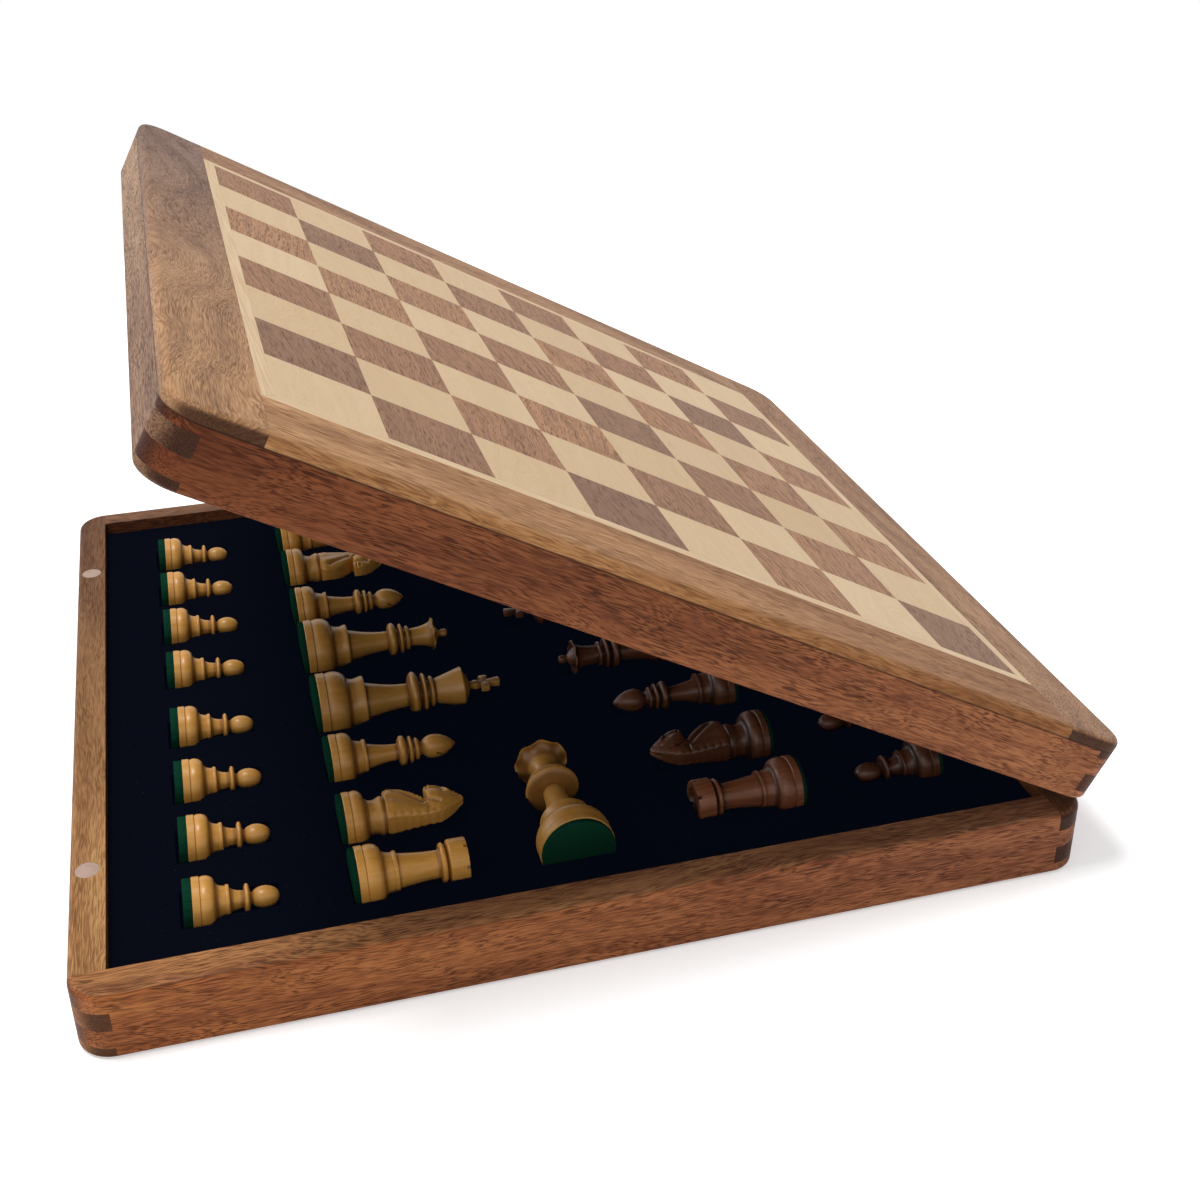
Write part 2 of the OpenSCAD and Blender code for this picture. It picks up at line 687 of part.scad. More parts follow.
base_front_board();
base_hinge_board();
base_near_board();
base_far_board();
base_bottom_panel();
foam_tray();
base_magnets();
lid_front_board();
lid_hinge_board();
lid_near_board();
lid_far_board();
lid_border_front();
lid_border_hinge();
lid_border_near();
lid_border_far();
board_core();
board_stringing();
light_squares();
dark_squares();
lid_lining();
lid_magnets();
hinge_base_leaves();
hinge_lid_leaves();
hinge_pins();
base_hinge_screws();
lid_hinge_screws();
white_king();
white_queen();
white_spare_queen();
white_bishop_near();
white_bishop_far();
white_knight_near();
white_knight_far();
white_rook_near();
white_rook_far();
white_pawn(0);  // white_pawn_1
white_pawn(1);  // white_pawn_2
white_pawn(2);  // white_pawn_3
white_pawn(3);  // white_pawn_4
white_pawn(4);  // white_pawn_5
white_pawn(5);  // white_pawn_6
white_pawn(6);  // white_pawn_7
white_pawn(7);  // white_pawn_8
dark_king();
dark_queen();
dark_spare_queen();
dark_bishop_near();
dark_bishop_far();
dark_knight_near();
dark_knight_far();
dark_rook_near();
dark_rook_far();
dark_pawn(0);  // dark_pawn_1
dark_pawn(1);  // dark_pawn_2
dark_pawn(2);  // dark_pawn_3
dark_pawn(3);  // dark_pawn_4
dark_pawn(4);  // dark_pawn_5
dark_pawn(5);  // dark_pawn_6
dark_pawn(6);  // dark_pawn_7
dark_pawn(7);  // dark_pawn_8
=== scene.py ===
import bmesh
import bpy
import json
import math
from mathutils import Matrix, Vector


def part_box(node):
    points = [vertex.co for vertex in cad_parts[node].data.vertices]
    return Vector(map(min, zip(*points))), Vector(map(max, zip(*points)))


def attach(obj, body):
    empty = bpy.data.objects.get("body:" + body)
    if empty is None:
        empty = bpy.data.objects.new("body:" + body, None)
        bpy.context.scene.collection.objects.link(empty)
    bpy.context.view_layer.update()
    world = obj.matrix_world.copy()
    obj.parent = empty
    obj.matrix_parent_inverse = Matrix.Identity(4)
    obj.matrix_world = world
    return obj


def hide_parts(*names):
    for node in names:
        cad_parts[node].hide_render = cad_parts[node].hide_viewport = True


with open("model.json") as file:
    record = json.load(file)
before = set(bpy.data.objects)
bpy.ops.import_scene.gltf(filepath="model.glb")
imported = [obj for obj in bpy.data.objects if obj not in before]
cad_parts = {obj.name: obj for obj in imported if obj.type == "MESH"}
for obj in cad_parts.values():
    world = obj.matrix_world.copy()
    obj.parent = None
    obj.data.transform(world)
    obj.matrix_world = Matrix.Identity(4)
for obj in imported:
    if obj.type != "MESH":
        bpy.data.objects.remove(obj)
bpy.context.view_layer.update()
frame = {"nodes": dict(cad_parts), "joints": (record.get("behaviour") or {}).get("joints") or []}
print("frame loaded:", len(frame["nodes"]), "nodes")

mm = 0.001


# One socket of a material, with arithmetic that adds Math nodes
class Value:
    def __init__(self, paint, socket):
        self.paint = paint
        self.socket = socket

    def math(self, operation, *others):
        return self.paint.node("ShaderNodeMath", {"operation": operation}, dict(enumerate((self, *others))))

    def __add__(self, other):
        return self.math("ADD", other)

    def __sub__(self, other):
        return self.math("SUBTRACT", other)

    def __rsub__(self, other):
        return self.paint.node("ShaderNodeMath", {"operation": "SUBTRACT"}, {0: other, 1: self})

    def __mul__(self, other):
        return self.math("MULTIPLY", other)

    def __truediv__(self, other):
        return self.math("DIVIDE", other)

    def __abs__(self):
        return self.math("ABSOLUTE")

    __radd__ = __add__
    __rmul__ = __mul__

    def ramp(self, low, high):  # 0 at low, 1 at high, smooth between
        return self.paint.node("ShaderNodeMapRange", {"interpolation_type": "SMOOTHSTEP"},
                               {"Value": self, "From Min": low, "From Max": high})


# One material, or the world: its nodes are made by node(), and surface() fills the shader
class Paint:
    def __init__(self, name, world=None):
        self.material = world or bpy.data.materials.new(name)
        self.material.use_nodes = True
        self.tree = self.material.node_tree
        self.shader = self.tree.nodes["Background" if world else "Principled BSDF"]

    def node(self, kind, settings=None, inputs=None, output=0):
        made = self.tree.nodes.new(kind)
        for key, setting in (settings or {}).items():
            if key == "stops":
                while len(made.color_ramp.elements) < len(setting):
                    made.color_ramp.elements.new(0.5)
                for element, (place, colour) in zip(made.color_ramp.elements, setting):
                    element.position = place
                    element.color = (*colour, 1)
            else:
                setattr(made, key, setting)
        for key, given in (inputs or {}).items():
            self.feed(made.inputs[key], given)
        return Value(self, made.outputs[output])

    def feed(self, socket, given):
        if isinstance(given, Value):
            self.tree.links.new(given.socket, socket)
        elif isinstance(given, (tuple, list)) and len(given) == 3 and socket.type == "RGBA":
            socket.default_value = (*given, 1)
        else:
            socket.default_value = given

    def place(self, turned=None):  # object coordinates in millimetres, or the board's own when turned
        there = self.node("ShaderNodeTexCoord", None, None, 3)
        settings, inputs = {"vector_type": "POINT"}, {"Vector": there, "Scale": (1000, 1000, 1000)}
        if turned:
            settings = {"vector_type": "TEXTURE"}
            inputs = {"Vector": there, "Location": turned["pin"], "Rotation": (0, turned["angle"], 0),
                      "Scale": (mm, mm, mm)}
        return self.node("ShaderNodeMapping", settings, inputs)

    def facing(self, turned=None):  # the surface normal in the same axes
        normal = self.node("ShaderNodeNewGeometry", None, None, 1)
        if turned:
            normal = self.node("ShaderNodeVectorRotate", {"rotation_type": "Y_AXIS"},
                               {"Vector": normal, "Angle": -turned["angle"]})
        return normal

    def split(self, vector):
        parts = self.node("ShaderNodeSeparateXYZ", None, {0: vector}).socket.node
        return [Value(self, output) for output in parts.outputs]

    def join(self, x, y, z):
        return self.node("ShaderNodeCombineXYZ", None, {0: x, 1: y, 2: z})

    def noise(self, vector, scale=1.0, detail=3.0, roughness=0.5):
        return self.node("ShaderNodeTexNoise", None,
                         {"Vector": vector, "Scale": scale, "Detail": detail, "Roughness": roughness})

    def streaks(self, place, size, detail=1.0, roughness=0.5):  # noise drawn out to a size along each axis
        return self.noise(self.join(*(p / s for p, s in zip(place, size))), 1.0, detail, roughness)

    def mix(self, factor, first, second, blend="MIX"):
        return self.node("ShaderNodeMix", {"data_type": "RGBA", "blend_type": blend},
                         {0: factor, 6: first, 7: second}, 2)

    def shown(self):  # 1 for what the camera sees, itself, mirrored or through glass
        seen = self.node("ShaderNodeLightPath")
        for ray in ("Is Glossy Ray", "Is Transmission Ray"):
            seen = seen.math("MAXIMUM", self.node("ShaderNodeLightPath", None, None, ray))
        return seen

    def bump(self, height, depth, strength=1.0):
        return self.node("ShaderNodeBump", None, {"Height": height, "Distance": depth * mm, "Strength": strength})

    def surface(self, **values):
        for key, given in values.items():
            self.feed(self.shader.inputs[key.replace("_", " ")], given)
        return self.material


def linear(red, green, blue):  # a colour as seen on a screen, 0 to 255, in scene values
    def one(c):
        c = c / 255
        return c / 12.92 if c <= 0.04045 else ((c + 0.055) / 1.055) ** 2.4
    return tuple(one(c) for c in (red, green, blue))


# The lid's own axes: its pin and the angle it stands open
lidJoint = [j for j in frame["joints"] if j["name"] == "box_lid_hinge"][0]
lidTurn = {"pin": tuple(lidJoint["pos_m"]), "angle": -math.radians(lidJoint["range_deg"][0])}
print("lid stands open", round(math.degrees(lidTurn["angle"]), 1), "degrees")


# Open-pored brown wood of the boards; each layer of its grain has a length, a width and a depth in millimetres
boardWood = {
    "wide": (110.0, 48.0, 40.0),
    "wave": (15.0, 7.0, 7.0),
    "broad": (120.0, 12.0, 12.0),
    "middle": (22.0, 1.7, 1.7),
    "fine": (8.0, 0.62, 0.62),
    "fleck": (6.0, 0.40, 0.40),
    "patch": (16.0, 7.0, 7.0),
    "wander": 22.0,
    "lean": 0.7,
    "cutStep": (97.0, 31.0),
    "waveHeight": 2.2,
    # half the length over which a board's painted light and shade change
    "fadeHalf": 200.0,
    "bumpDepth": 0.16,
    "seamHalf": 0.5,
    "seamDepth": 0.75,
    "endDepth": 0.85,
}


def lowestOf(node):  # lowest point of a lid part, in millimetres above the pin with the lid shut
    turnBack = Matrix.Rotation(-lidTurn["angle"], 4, "Y")
    return min((turnBack @ (v.co - Vector(lidTurn["pin"]))).z / mm for v in frame["nodes"][node].data.vertices)


# Squares of the playing surface, and how far its middle lies from the pin
boardSquares = {
    "side": 36.1,
    "pinToCentre": 179.0,
    "turnSpread": 0.35,
}
seamHeight = lowestOf("lid_border_near")


def woodPaint(name, look, along, turned=None, shift=0.0, shade=(1, 1, 1), farPaintedLight=None):
    paint = Paint(name)
    x, y, z = paint.split(paint.place(turned))
    nx, ny, nz = paint.split(paint.facing(turned))
    length, across, end = (x, y, nx) if along == "x" else (y, x, ny)
    middleAt = -boardSquares["pinToCentre"] if turned and along == "x" else 0.0
    fade = boardWood["fadeHalf"]
    # painted light and shade: the board's colour is multiplied by a tint that runs from one end's value to the
    # other's
    paintedLightTint = paint.mix((length - middleAt).ramp(-fade, fade), shade, farPaintedLight or shade)
    length = length + shift * boardWood["cutStep"][0]  # each board is its own cut of the log
    across = across + shift * boardWood["cutStep"][1]
    straight = (length, across, z)
    wide = paint.streaks(straight, look.get("wide", boardWood["wide"]))
    wave = paint.streaks(straight, boardWood["wave"])
    drift = (wide - 0.5) * look.get("wander", boardWood["wander"]) + (wave - 0.5) * boardWood["waveHeight"]
    bent = (length, across + drift, z + drift * boardWood["lean"])
    broad = paint.streaks(bent, boardWood["broad"], 2.0)
    middle = paint.streaks(bent, boardWood["middle"], 2.0, 0.6)
    fine = paint.streaks(bent, boardWood["fine"], 1.0, 0.6)
    fleck = paint.streaks(bent, boardWood["fleck"], 0.0)
    patch = paint.streaks(straight, boardWood["patch"], 2.0)
    pores = fleck.ramp(0.53, 0.64) * (patch.ramp(0.30, 0.62) * 0.65 + 0.35)
    glints = (1.0 - fleck.ramp(0.34, 0.44)) * (patch.ramp(0.30, 0.62) * 0.6 + 0.4)
    tone = broad.ramp(0.25, 0.75) * 0.50 + middle.ramp(0.30, 0.70) * 0.20 + fine.ramp(0.30, 0.70) * 0.30
    base = paint.node("ShaderNodeValToRGB", {"stops": look["stops"]}, {0: tone})
    lit = paint.mix(glints * look.get("glints", 0.5), base, look["stops"][-1][1])
    pored = paint.mix(pores * look["pores"], lit, look["pore"])
    speck = paint.noise(paint.join(across * 1.6, z * 1.6, length * 0.2), 1.0, 2.0)
    endGrain = abs(end).ramp(0.55, 0.92)  # 1 where a finger of the joint shows its end
    endTone = paint.mix(speck.ramp(0.3, 0.7), look["endDark"], look["endLight"])
    # painted light and shade: faces turned up and upright faces get their own colour multipliers for how the
    # light falls on them
    upright = 1.0 - abs(nz).ramp(0.3, 0.8)
    turnedUp = nz.ramp(0.6, 0.9)
    paintedFacingLight = paint.mix(turnedUp, paint.mix(upright, (1, 1, 1), look.get("upright", (1, 1, 1))),
                         look.get("top", (1, 1, 1)))
    lifted = paint.mix(1.0, pored, paintedFacingLight, "MULTIPLY")
    colour = paint.mix(1.0, paint.mix(endGrain * boardWood["endDepth"], lifted, endTone), paintedLightTint, "MULTIPLY")
    if turned:
        seam = 1.0 - abs(z - seamHeight).ramp(0.1, boardWood["seamHalf"])
        colour = paint.mix(seam * boardWood["seamDepth"], colour, look["endDark"])
    height = 1.0 - pores * (1.0 - endGrain) - fine * 0.25
    return paint.surface(Base_Color=colour, Roughness=0.55 + pores * 0.2 - middle * 0.1,
                         Normal=paint.bump(height, boardWood["bumpDepth"], 0.7), Specular_IOR_Level=0.1)


sideLook = {
    "stops": [(0.15, linear(102, 58, 37)), (0.45, linear(120, 71, 45)), (0.80, linear(150, 96, 62))],
    "pore": linear(58, 31, 21), "pores": 0.7,
    # painted light: faces turned up lighter and more golden
    "top": (0.92, 1.16, 1.36),
    "endDark": linear(46, 24, 15), "endLight": linear(70, 38, 24),
}
rimLook = {
    "stops": [(0.15, linear(128, 88, 57)), (0.45, linear(150, 107, 72)), (0.80, linear(178, 134, 94))],
    "pore": linear(96, 62, 39), "pores": 0.5, "wander": 16.0, "glints": 0.4,
    # painted light: upright faces lighter
    "upright": (1.15, 1.05, 0.92),
    "endDark": linear(46, 24, 15), "endLight": linear(74, 40, 25),
}
frontLook = {
    "stops": [(0.12, linear(112, 80, 60)), (0.45, linear(144, 106, 78)), (0.85, linear(172, 132, 99))],
    "pore": linear(92, 62, 44), "pores": 0.42, "wide": (110.0, 90.0, 40.0), "wander": 70.0,
    "glints": 0.4,
    "endDark": linear(42, 21, 14), "endLight": linear(66, 35, 24),
}
# painted shade: the base rim's upright faces darker
baseRimLook = {**rimLook, "upright": (0.72, 0.58, 0.48)}
openingLook = {
    "stops": [(0.15, linear(98, 66, 48)), (0.45, linear(118, 82, 60)), (0.80, linear(146, 106, 79))],
    "pore": linear(66, 41, 29), "pores": 0.7, "wander": 20.0,
    "endDark": linear(42, 21, 14), "endLight": linear(66, 35, 24),
}

# Each board: its look, the way its grain runs, whether it turns with the lid, its own cut of the log,
# and the painted light and shade at its two ends: multipliers that lighten or darken the board's colour towards
# each end
boardPaints = {
    "base_near_board": (sideLook, "x", False, 1.0, (1.54, 1.42, 1.05), (1.26, 1.25, 1.3)),
    "base_far_board": (sideLook, "x", False, 2.3, (0.85, 0.85, 0.85), (0.85, 0.85, 0.85)),
    "base_front_board": (baseRimLook, "y", False, 3.1, (1.16, 1.16, 0.98), (0.35, 0.29, 0.29)),
    "base_hinge_board": (sideLook, "y", False, 4.7, (0.62, 0.58, 0.55), (0.85, 0.85, 0.85)),
    "lid_near_board": (sideLook, "x", True, 5.2, (0.83, 0.66, 0.58), (1.5, 1.54, 1.52)),
    "lid_far_board": (sideLook, "x", True, 6.9, (1.1, 1.1, 1.1), (1.1, 1.1, 1.1)),
    "lid_front_board": (openingLook, "y", True, 7.4, (1.02, 1.08, 1.08), (1.5, 1.85, 2.05)),
    "lid_hinge_board": (sideLook, "y", True, 8.8, (1.1, 1.1, 1.1), (1.1, 1.1, 1.1)),
    "lid_border_near": (rimLook, "x", True, 9.3, (1.22, 1.28, 1.28), (0.72, 0.61, 0.52)),
    "lid_border_far": (frontLook, "x", True, 10.6, (1.0, 1.0, 1.0), (1.0, 1.0, 1.0)),
    "lid_border_front": (frontLook, "y", True, 11.2, (1.3, 1.32, 1.18), (0.58, 0.64, 0.88)),
    "lid_border_hinge": (frontLook, "y", True, 12.5, (0.95, 0.93, 0.9), (0.95, 0.93, 0.9)),
}


def dress(node, material):
    mesh = frame["nodes"][node].data
    mesh.materials.clear()
    mesh.materials.append(material)


for node, (look, along, onLid, *cutAndPaintedLight) in boardPaints.items():
    dress(node, woodPaint(node + "_wood", look, along, lidTurn if onLid else None, *cutAndPaintedLight))
print("boards dressed:", len(boardPaints))


# Veneer of the squares: each one is cut from its own place and turned a little
def squarePaint(name, look):
    paint = Paint(name)
    x, y, z = paint.split(paint.place(lidTurn))
    side = boardSquares["side"]
    column = ((x + boardSquares["pinToCentre"]) / side).math("FLOOR")
    row = (y / side).math("FLOOR")
    chance = paint.node("ShaderNodeTexWhiteNoise", {"noise_dimensions": "3D"},
                        {"Vector": paint.join(column + look["seed"], row, 0.0)}, 1)
    one, two, three = paint.split(chance)
    slant = (one - 0.5) * boardSquares["turnSpread"]
    length = y + x * slant + one * 900.0
    across = x - y * slant + two * 700.0
    wander = paint.noise(paint.join(length * 0.03, across * 0.05, one * 9.0), 1.0, 2.0)
    drift = (wander - 0.5) * look["wander"]
    bent = across + drift
    line = paint.noise(paint.join(length / look["long"], bent / look["line"], three * 7.0), 1.0, 2.0, 0.6)
    ripple = paint.noise(paint.join(length / 6.0, across / 4.0, two), 1.0, 1.0) - 0.5
    fine = paint.noise(paint.join(length / 6.0, (bent + ripple * 1.4) / 0.42, two), 1.0, 1.0, 0.6)
    base = paint.node("ShaderNodeValToRGB", {"stops": look["tones"]}, {0: three})
    lined = paint.mix(line.ramp(0.40, 0.66) * look["lineDepth"], base, look["dark"])
    fleck = fine.ramp(0.52, 0.66)
    flecked = paint.mix(fleck * look["fleckDepth"], lined, look["pore"])
    colour = paint.mix(1.0, flecked, look["shade"], "MULTIPLY")
    normal = paint.bump(1.0 - fleck, 0.03, look["fleckDepth"])
    return paint.surface(Base_Color=colour, Roughness=0.5 + fleck * 0.15, Normal=normal,
                         Specular_IOR_Level=0.18)


darkSquareLook = {
    "seed": 3.0, "wander": 9.0, "long": 40.0, "line": 1.6, "lineDepth": 0.55, "fleckDepth": 0.75,
    "tones": [(0.0, linear(136, 104, 84)), (0.3, linear(152, 115, 88)), (0.6, linear(164, 124, 94)),
              (0.85, linear(173, 132, 99)), (1.0, linear(132, 101, 84))],
    "dark": linear(112, 80, 61), "pore": linear(88, 60, 45), "shade": (0.97, 0.87, 0.74),
}
lightSquareLook = {
    "seed": 11.0, "wander": 22.0, "long": 120.0, "line": 4.0, "lineDepth": 0.16, "fleckDepth": 0.05,
    "tones": [(0.0, linear(216, 188, 152)), (0.4, linear(221, 194, 158)), (0.75, linear(226, 200, 165)),
              (1.0, linear(212, 183, 146))],
    "dark": linear(196, 162, 124), "pore": linear(186, 150, 114), "shade": (0.84, 0.81, 0.765),
}
dress("dark_squares", squarePaint("dark_squares_veneer", darkSquareLook))
dress("light_squares", squarePaint("light_squares_veneer", lightSquareLook))


# Thin maple line around the squares, mitred at its corners
stringing = {
    "pale": linear(214, 187, 151),
    "deep": linear(196, 165, 127),
    "streakLength": 25.0,
    "streakWidth": 0.9,
}


def stringingPaint():
    paint = Paint("stringing_maple")
    x, y, z = paint.split(paint.place(lidTurn))
    ex, ey = abs(x + boardSquares["pinToCentre"]), abs(y)
    alongX = (ey - ex).ramp(-0.2, 0.2)
    long, wide = stringing["streakLength"], stringing["streakWidth"]
    lineX = paint.noise(paint.join(x / long, (y + x * 0.05) / wide, 0.0), 1.0, 3.0)
    lineY = paint.noise(paint.join((x + y * 0.05) / wide, y / long, 3.0), 1.0, 3.0)
    line = lineX * alongX + lineY * (1.0 - alongX)
    colour = paint.mix(line.ramp(0.3, 0.7), stringing["pale"], stringing["deep"])
    return paint.surface(Base_Color=colour, Roughness=0.5, Specular_IOR_Level=0.18)


dress("board_stringing", stringingPaint())
dress("board_core", woodPaint("core_wood", rimLook, "x", lidTurn, 3.3))
dress("base_bottom_panel", woodPaint("bottom_wood", frontLook, "x", None, 5.7))
print("playing surface dressed")


# Flocked foam and felt; the foam's painted glow is a faint emission that lifts its black
fibreLooks = {
    "foam_flock": {"dark": linear(4, 5, 9), "light": linear(9, 10, 16), "tuft": 0.5, "paintedGlow": linear(3, 5, 13)},
    "lining_felt": {"dark": linear(6, 7, 14), "light": linear(14, 16, 28), "tuft": 0.6, "paintedGlow": (0, 0, 0)},
    "green_felt": {"dark": linear(8, 34, 26), "light": linear(22, 70, 50), "tuft": 0.35, "paintedGlow": (0, 0, 0)},
}
lint = linear(120, 112, 90)


def fibrePaint(name):
    paint, look = Paint(name), fibreLooks[name]
    place = paint.place()
    tuft = paint.noise(place, 1.0 / look["tuft"], 3.0, 0.6)
    wide = paint.noise(place, 0.05, 2.0)
    dust = paint.noise(place, 0.9, 0.0).ramp(0.80, 0.86)
    colour = paint.mix(tuft.ramp(0.3, 0.7) * 0.7 + wide * 0.3, look["dark"], look["light"])
    colour = paint.mix(dust * 0.06, colour, lint)
    # painted glow: emission on the foam
    return paint.surface(Base_Color=colour, Roughness=1.0, Normal=paint.bump(tuft, 0.25, 0.5),
                         Specular_IOR_Level=0.0, Emission_Color=look["paintedGlow"], Emission_Strength=1.0)


dress("foam_tray", fibrePaint("foam_flock"))
dress("lid_lining", fibrePaint("lining_felt"))
feltPaint = fibrePaint("green_felt")


# Metal fittings
metalLooks = {
    "hinge_brass": {"colour": linear(202, 164, 96), "rough": 0.22},
    "magnet_plating": {"colour": linear(172, 148, 134), "rough": 0.45},
}


def metalPaint(name):
    paint, look = Paint(name), metalLooks[name]
    place = paint.place()
    x, y, z = paint.split(place)
    brushed = paint.noise(paint.join(x * 3.0, y * 0.25, z * 3.0), 1.0, 3.0)
    worn = paint.noise(place, 0.25, 3.0)
    tone = paint.mix(worn.ramp(0.35, 0.75) * 0.5, look["colour"], tuple(c * 0.7 for c in look["colour"]))
    return paint.surface(Base_Color=tone, Metallic=1.0, Roughness=look["rough"] + brushed * 0.2,
                         Normal=paint.bump(brushed, 0.01, 0.4))


brassPaint = metalPaint("hinge_brass")
for node in ("hinge_base_leaves", "hinge_lid_leaves", "hinge_pins", "base_hinge_screws", "lid_hinge_screws"):
    dress(node, brassPaint)
magnetPaint = metalPaint("magnet_plating")
for node in ("base_magnets", "lid_magnets"):
    dress(node, magnetPaint)
print("fittings dressed")


# Woods of the chess pieces; their grain runs from foot to head
pieceWoods = {
    "white": {"name": "boxwood", "coat": 0.3,
              "pale": linear(213, 156, 74), "deep": linear(203, 143, 63), "line": linear(174, 110, 44)},
    "dark": {"name": "rosewood", "coat": 0.16,
             "pale": linear(122, 72, 44), "deep": linear(94, 53, 33), "line": linear(56, 30, 20)},
}
piecePaintedLight = {  # painted light and shade for each kind: colour multipliers that darken the kinds lying in the lid's shade and lighten those in the light
    "white": {"king": 0.74, "spare_queen": 0.8, "queen": 0.8, "bishop": 0.92, "knight": 1.0, "rook": 1.25,
              "pawn": 0.9},
    "dark": {"king": 0.8, "spare_queen": 0.8, "queen": 0.8, "bishop": 0.75, "knight": 0.66, "rook": 1.35,
             "pawn": 0.62},
}


pieceGrain = {
    "width": 1.6,
    "length": 30.0,
    "wander": 6.0,
    "fineWidth": 0.35,
    "fineLength": 5.0,
    "fineDepth": 0.22,
    "grooveShadeDepth": 0.75,
}


def piecePaint(wood, kind, tone):
    paint = Paint(wood["name"] + "_" + kind)
    # the kind's painted light and shade scales all its colours
    pale, deep, line = (tuple(c * tone for c in wood[key]) for key in ("pale", "deep", "line"))
    own = paint.node("ShaderNodeAttribute", {"attribute_name": "ownPlace"}, None, 1)
    x, y, z = paint.split(own)
    wander = paint.noise(paint.join(x * 0.08, y * 0.08, z * 0.03), 1.0, 2.0)
    drift = (wander - 0.5) * pieceGrain["wander"]
    width, fineWidth = pieceGrain["width"], pieceGrain["fineWidth"]
    grain = paint.streaks((x + drift, y + drift, z), (width, width, pieceGrain["length"]), 3.0, 0.6)
    fine = paint.streaks((x, y, z), (fineWidth, fineWidth, pieceGrain["fineLength"]), 2.0)
    colour = paint.mix(grain.ramp(0.3, 0.72), pale, deep)
    colour = paint.mix(fine.ramp(0.58, 0.72) * pieceGrain["fineDepth"], colour, line)
    groove = paint.node("ShaderNodeAttribute", {"attribute_name": "groove"}, None, 2)
    # painted shade: grooves and carved hollows darkened
    colour = paint.mix(groove * pieceGrain["grooveShadeDepth"], colour, tuple(c * 0.5 for c in line))
    return paint.surface(Base_Color=colour, Roughness=0.42 + fine * 0.1, Coat_Weight=wood["coat"],
                         Coat_Roughness=0.25, Specular_IOR_Level=0.35, Normal=paint.bump(fine, 0.02, 0.25))


piecePaints = {(shade, kind): piecePaint(pieceWoods[shade], kind, tone)
               for shade, tones in piecePaintedLight.items() for kind, tone in tones.items()}
print("piece woods mixed:", len(piecePaints))


# Turning curves: lists of (radius, height) in millimetres
def cove(r0, z0, r1, z1, steps=10):  # a hollow from a wide edge up to a narrow one
    turns = [math.pi / 2 * i / steps for i in range(steps + 1)]
    return [(r1 + (r0 - r1) * (1 - math.sin(t)), z0 + (z1 - z0) * (1 - math.cos(t))) for t in turns]


def flare(r0, z0, r1, z1, steps=14):  # a neck that opens upwards
    turns = [math.pi / 2 * i / steps for i in range(steps + 1)]
    return [(r0 + (r1 - r0) * (1 - math.cos(t)), z0 + (z1 - z0) * math.sin(t)) for t in turns]


def bead(r, out, z0, z1, steps=12):  # a half-round ring
    turns = [math.pi * i / steps for i in range(steps + 1)]
    return [(r + out * math.sin(t), (z0 + z1) / 2 - (z1 - z0) / 2 * math.cos(t)) for t in turns]


def egg(r, z, below, above, steps=18):  # a rounded head
    low = [math.radians(30 + 60 * i / 9) for i in range(10)]
    high = [math.pi / 2 * i / steps for i in range(1, steps)]
    return ([(r * math.sin(t), z - below * math.cos(t)) for t in low]
            + [(r * math.cos(t), z + above * math.sin(t)) for t in high])


def ogive(r, z, below, above, steps=16):  # an egg with a pointed end
    blunt = egg(r, z, below, above)[:10]
    return blunt + [(r * (1 - (i / steps) ** 2) ** 0.85, z + above * i / steps) for i in range(1, steps)]


def stem(r0, z0, r1, z1, steps=14):  # a tapering body
    return [(r0 + (r1 - r0) * math.sin(math.pi / 2 * i / steps), z0 + (z1 - z0) * i / steps)
            for i in range(steps + 1)]


def footCurve(r, plinth, swell, waistR, waistZ):  # plinth, swelling and the hollow above it
    turns = [math.radians(-30 + 7.5 * i) for i in range(15)]
    share = math.sin(math.radians(75)) + 0.5
    bulge = [(r * (0.72 + 0.28 * math.cos(t)), plinth + (swell - plinth) * (math.sin(t) + 0.5) / share)
             for t in turns]
    return ([(0, 0), (r - 0.3, 0), (r, 0.3), (r, plinth - 0.35), (r - 0.25, plinth - 0.1), (r * 0.95, plinth)]
            + bulge + cove(r * 0.7925, swell, waistR, waistZ))


def collarCurve(neck, r, z, h):  # a large ring with two smaller ones above it
    return (bead(neck, r - neck, z, z + h)
            + bead(neck, (r - neck) * 0.76, z + h * 1.14, z + h * 1.7, 10)
            + bead(neck, (r - neck) * 0.4, z + h * 1.86, z + h * 2.36, 10))


def turn(points, steps=72):
    made = bmesh.new()
    verts = [made.verts.new((max(r, 0), 0, z)) for r, z in points]
    edges = [made.edges.new(pair) for pair in zip(verts, verts[1:])]
    bmesh.ops.spin(made, geom=verts + edges, cent=(0, 0, 0), axis=(0, 0, 1), angle=2 * math.pi,
                   steps=steps, use_merge=True)
    bmesh.ops.remove_doubles(made, verts=made.verts, dist=0.0005)
    bmesh.ops.recalc_face_normals(made, faces=made.faces)
    return made


def carve(made, cutters):  # takes each cutter out of a turned piece
    body = solidObject("carveBody", made)
    for i, cutter in enumerate(cutters):
        tool = solidObject("carveTool%d" % i, cutter)
        modifier = body.modifiers.new("carve%d" % i, "BOOLEAN")
        modifier.operation = "DIFFERENCE"
        modifier.solver = "EXACT"
        modifier.object = tool
    result = bmesh.new()
    result.from_mesh(bpy.data.meshes.new_from_object(body.evaluated_get(bpy.context.evaluated_depsgraph_get())))
    for used in [m.object for m in body.modifiers] + [body]:
        bpy.data.objects.remove(used)
    return result


def solidObject(name, made):
    mesh = bpy.data.meshes.new(name)
    made.to_mesh(mesh)
    thing = bpy.data.objects.new(name, mesh)
    bpy.context.scene.collection.objects.link(thing)
    bpy.context.view_layer.update()
    return thing


def joinInto(made, other):
    mesh = bpy.data.meshes.new("joined")
    other.to_mesh(mesh)
    made.from_mesh(mesh)
    bpy.data.meshes.remove(mesh)


